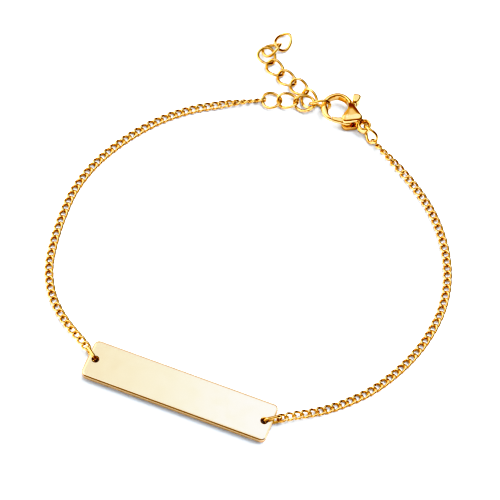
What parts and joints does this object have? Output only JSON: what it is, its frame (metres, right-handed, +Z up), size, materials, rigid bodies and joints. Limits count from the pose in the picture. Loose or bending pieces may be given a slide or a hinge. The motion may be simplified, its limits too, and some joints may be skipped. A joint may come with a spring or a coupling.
{
  "type": "bracelet",
  "caption": "Flat gold bar on a fine curb chain bracelet, with a hinged lobster clasp hooked on an extender of larger curb links.",
  "frame": {"origin": "middle of the bracelet's box in plan, on the surface it lies on", "axes": "+Z up from the table. The loop's plane is level. The bar is towards -X and -Y, and the clasp and the extender are towards +Y"},
  "size_m": [0.0628, 0.0722, 0.0031],
  "materials": {
    "polished_gold": "polished gold plate",
    "mirror_gold": "mirror-polished gold plate"
  },
  "bodies": {
    "bracelet": {"bar": "mirror_gold", "bar_ring_left": "polished_gold", "bar_ring_right": "polished_gold", "chain_left": "polished_gold", "chain_right": "polished_gold", "clasp_body": "polished_gold", "clasp_link": "polished_gold", "end_link": "polished_gold", "extender_link_1": "polished_gold", "extender_link_2": "polished_gold", "extender_link_3": "polished_gold", "extender_link_4": "polished_gold", "extender_link_5": "polished_gold", "extender_link_6": "polished_gold", "extender_link_7": "polished_gold", "extender_link_8": "polished_gold", "extender_ring_1": "polished_gold", "extender_ring_2": "polished_gold"},
    "clasp_lever": {"clasp_lever": "polished_gold"}
  },
  "joints": [
    {"name": "lever_hinge", "type": "hinge", "parent": "bracelet", "child": "clasp_lever", "pos_m": [0.01621, 0.01955, 0.00157], "axis": [0, 0, -1], "range_deg": [0, 25], "stiffness_Nm_per_rad": 0.002}
  ]
}
